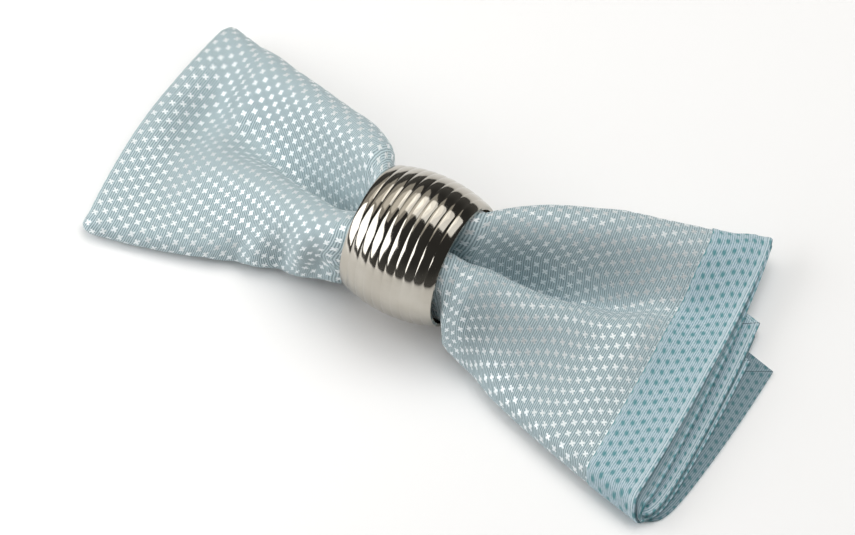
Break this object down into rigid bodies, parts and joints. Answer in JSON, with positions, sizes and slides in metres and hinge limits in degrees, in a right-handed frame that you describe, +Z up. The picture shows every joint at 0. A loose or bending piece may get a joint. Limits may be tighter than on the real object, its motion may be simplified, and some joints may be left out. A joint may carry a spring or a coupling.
{
  "type": "napkin in a ring",
  "caption": "Folded square cloth napkin, tucked under along one side and drawn through a ribbed metal napkin ring, with a folded end and an open hemmed end fanned out.",
  "frame": {"origin": "on the surface that the napkin lies on, below the middle of its bounding box", "axes": "+X along the ring's axis towards the open, hemmed end, +Y to the far side where the cloth's folded edge lies, +Z up"},
  "size_m": [0.2316, 0.1222, 0.0498],
  "materials": {
    "napkin_cloth": "pale blue-grey cloth woven with small white stars, satin sheen on the pattern",
    "ring_metal": "polished, warm silver colour"
  },
  "bodies": {
    "root": {"napkin": "napkin_cloth", "napkin_ring": "ring_metal"}
  },
  "joints": []
}
